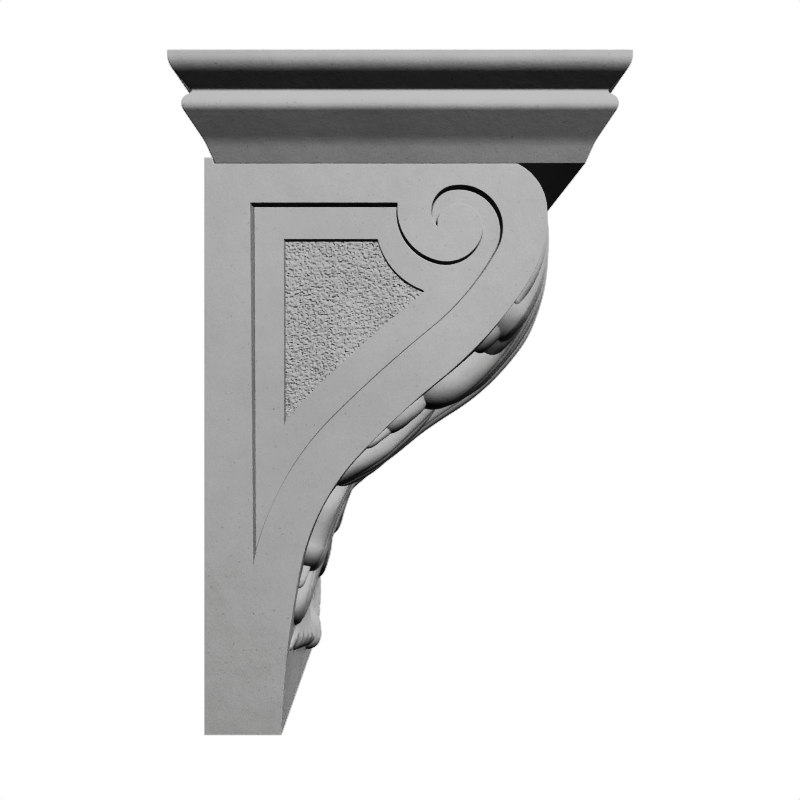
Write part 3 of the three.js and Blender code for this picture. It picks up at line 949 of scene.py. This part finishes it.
# The two pieces. The stone sends no light on to itself, as in the photograph.
stone = stone_material("grey_stone")
body = block()
cut_sides(body)
combine(body, leaf(), "UNION")
finish_mesh(body, stone)
cap = crown()
finish_mesh(cap, stone)
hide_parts("bracket_body")
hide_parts("crown_moulding")
for made in (body, cap):
    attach(made, "root")
    made.visible_diffuse = False


# The studio, in metres: the pale background's strength, the floor and the faint light all round
PALE = 1.8
AMBIENT = 0.03
FLOOR_HALF = 6.0
FLOOR_UP = -1.4


def studio_floor():
    """A plain pale floor that sends no light onto the stone."""
    half = FLOOR_HALF / MM
    corners = [(-half, -half, 0), (half, -half, 0), (half, half, 0), (-half, half, 0)]
    made = new_object("studio_floor", corners, [(0, 1, 2, 3)])
    made.location.z = FLOOR_UP
    material = bpy.data.materials.new("pale_floor")
    material.use_nodes = True
    nodes = material.node_tree.nodes
    nodes.remove(nodes["Principled BSDF"])
    glow = nodes.new("ShaderNodeEmission")
    glow.inputs["Color"].default_value = (1, 1, 1, 1)
    glow.inputs["Strength"].default_value = PALE
    material.node_tree.links.new(glow.outputs[0], nodes["Material Output"].inputs["Surface"])
    made.data.materials.append(material)
    made.visible_diffuse = False
    made.visible_glossy = False


def studio_world():
    """A background that is pale to the camera and gives the stone only a faint light."""
    world = bpy.data.worlds.new("studio")
    bpy.context.scene.world = world
    world.use_nodes = True
    nodes = world.node_tree.nodes
    links = world.node_tree.links
    ambient = nodes["Background"]
    ambient.inputs["Color"].default_value = (1, 1, 1, 1)
    ambient.inputs["Strength"].default_value = AMBIENT
    seen = nodes.new("ShaderNodeBackground")
    seen.inputs["Color"].default_value = (1, 1, 1, 1)
    seen.inputs["Strength"].default_value = PALE
    choose = nodes.new("ShaderNodeMixShader")
    rays = nodes.new("ShaderNodeLightPath")
    links.new(rays.outputs["Is Camera Ray"], choose.inputs["Fac"])
    links.new(ambient.outputs[0], choose.inputs[1])
    links.new(seen.outputs[0], choose.inputs[2])
    links.new(choose.outputs[0], nodes["World Output"].inputs["Surface"])


def area_light(name, place, aim, size, power):
    """A round soft light at a place, turned towards its aim."""
    data = bpy.data.lights.new(name, "AREA")
    data.shape = "DISK"
    data.size = size
    data.energy = power
    made = bpy.data.objects.new(name, data)
    made.location = place
    made.rotation_mode = "QUATERNION"
    made.rotation_quaternion = Vector(np.subtract(aim, place)).to_track_quat("-Z", "Y")
    bpy.context.scene.collection.objects.link(made)
    return made


def studio_lights():
    """A key light without shadows, as in the photograph, and fills for the sides it leaves dark."""
    front_aim = (0, -0.2, 0)
    back_aim = (0, -0.16, 0)
    key = area_light("key", (-3.6, -1.65, 3.1), (-0.15, -0.16, 0.04), size=1.0, power=540)
    key.data.use_shadow = False
    area_light("front", (1.7, -2.1, 1.7), front_aim, size=1.5, power=85)
    area_light("low_front", (1.3, -2.0, -0.7), front_aim, size=1.5, power=14)
    area_light("back", (1.2, 3.2, 1.7), back_aim, size=2.0, power=150)
    area_light("far_side", (3.4, 0.9, 1.8), back_aim, size=2.0, power=190)


# The photograph's camera: it looks along +X at the side, level, from 0.894 m off the middle plane
PHOTO_PIXELS = 800
FOCAL_PIXELS = 885
SENSOR = 36
CAMERA_PLACE = (-0.8938, -0.1634, 0.0387)


def photo_camera():
    """The camera at the photograph's place."""
    data = bpy.data.cameras.new("camera")
    data.sensor_width = SENSOR
    data.lens = SENSOR * FOCAL_PIXELS / PHOTO_PIXELS
    data.clip_start = 0.01
    camera = bpy.data.objects.new("camera", data)
    camera.location = CAMERA_PLACE
    camera.rotation_euler = (math.pi / 2, 0, -math.pi / 2)
    bpy.context.scene.collection.objects.link(camera)
    bpy.context.scene.camera = camera


# Tones as in the photograph: straight to a middle grey, then compressed so that bright stone stays
# below the white background. Points are (light, tone), and the last is the background.
TONE_POINTS = [(0.62, 0.62), (0.8, 0.72), (1.1, 0.765), (1.4, 0.8)]
TONE_END = (PALE, 1.0)
TONE_LIMIT = 2.0


def photo_tones():
    """The view's tone curve."""
    view = bpy.context.scene.view_settings
    view.view_transform = "Raw"
    view.use_curve_mapping = True
    view.curve_mapping.clip_max_x = TONE_LIMIT
    curve = view.curve_mapping.curves[3]
    curve.points[1].location = TONE_END
    for point in TONE_POINTS:
        curve.points.new(*point)
    for point in curve.points:
        point.handle_type = "VECTOR"
    view.curve_mapping.update()


studio_floor()
studio_world()
studio_lights()
photo_camera()
photo_tones()
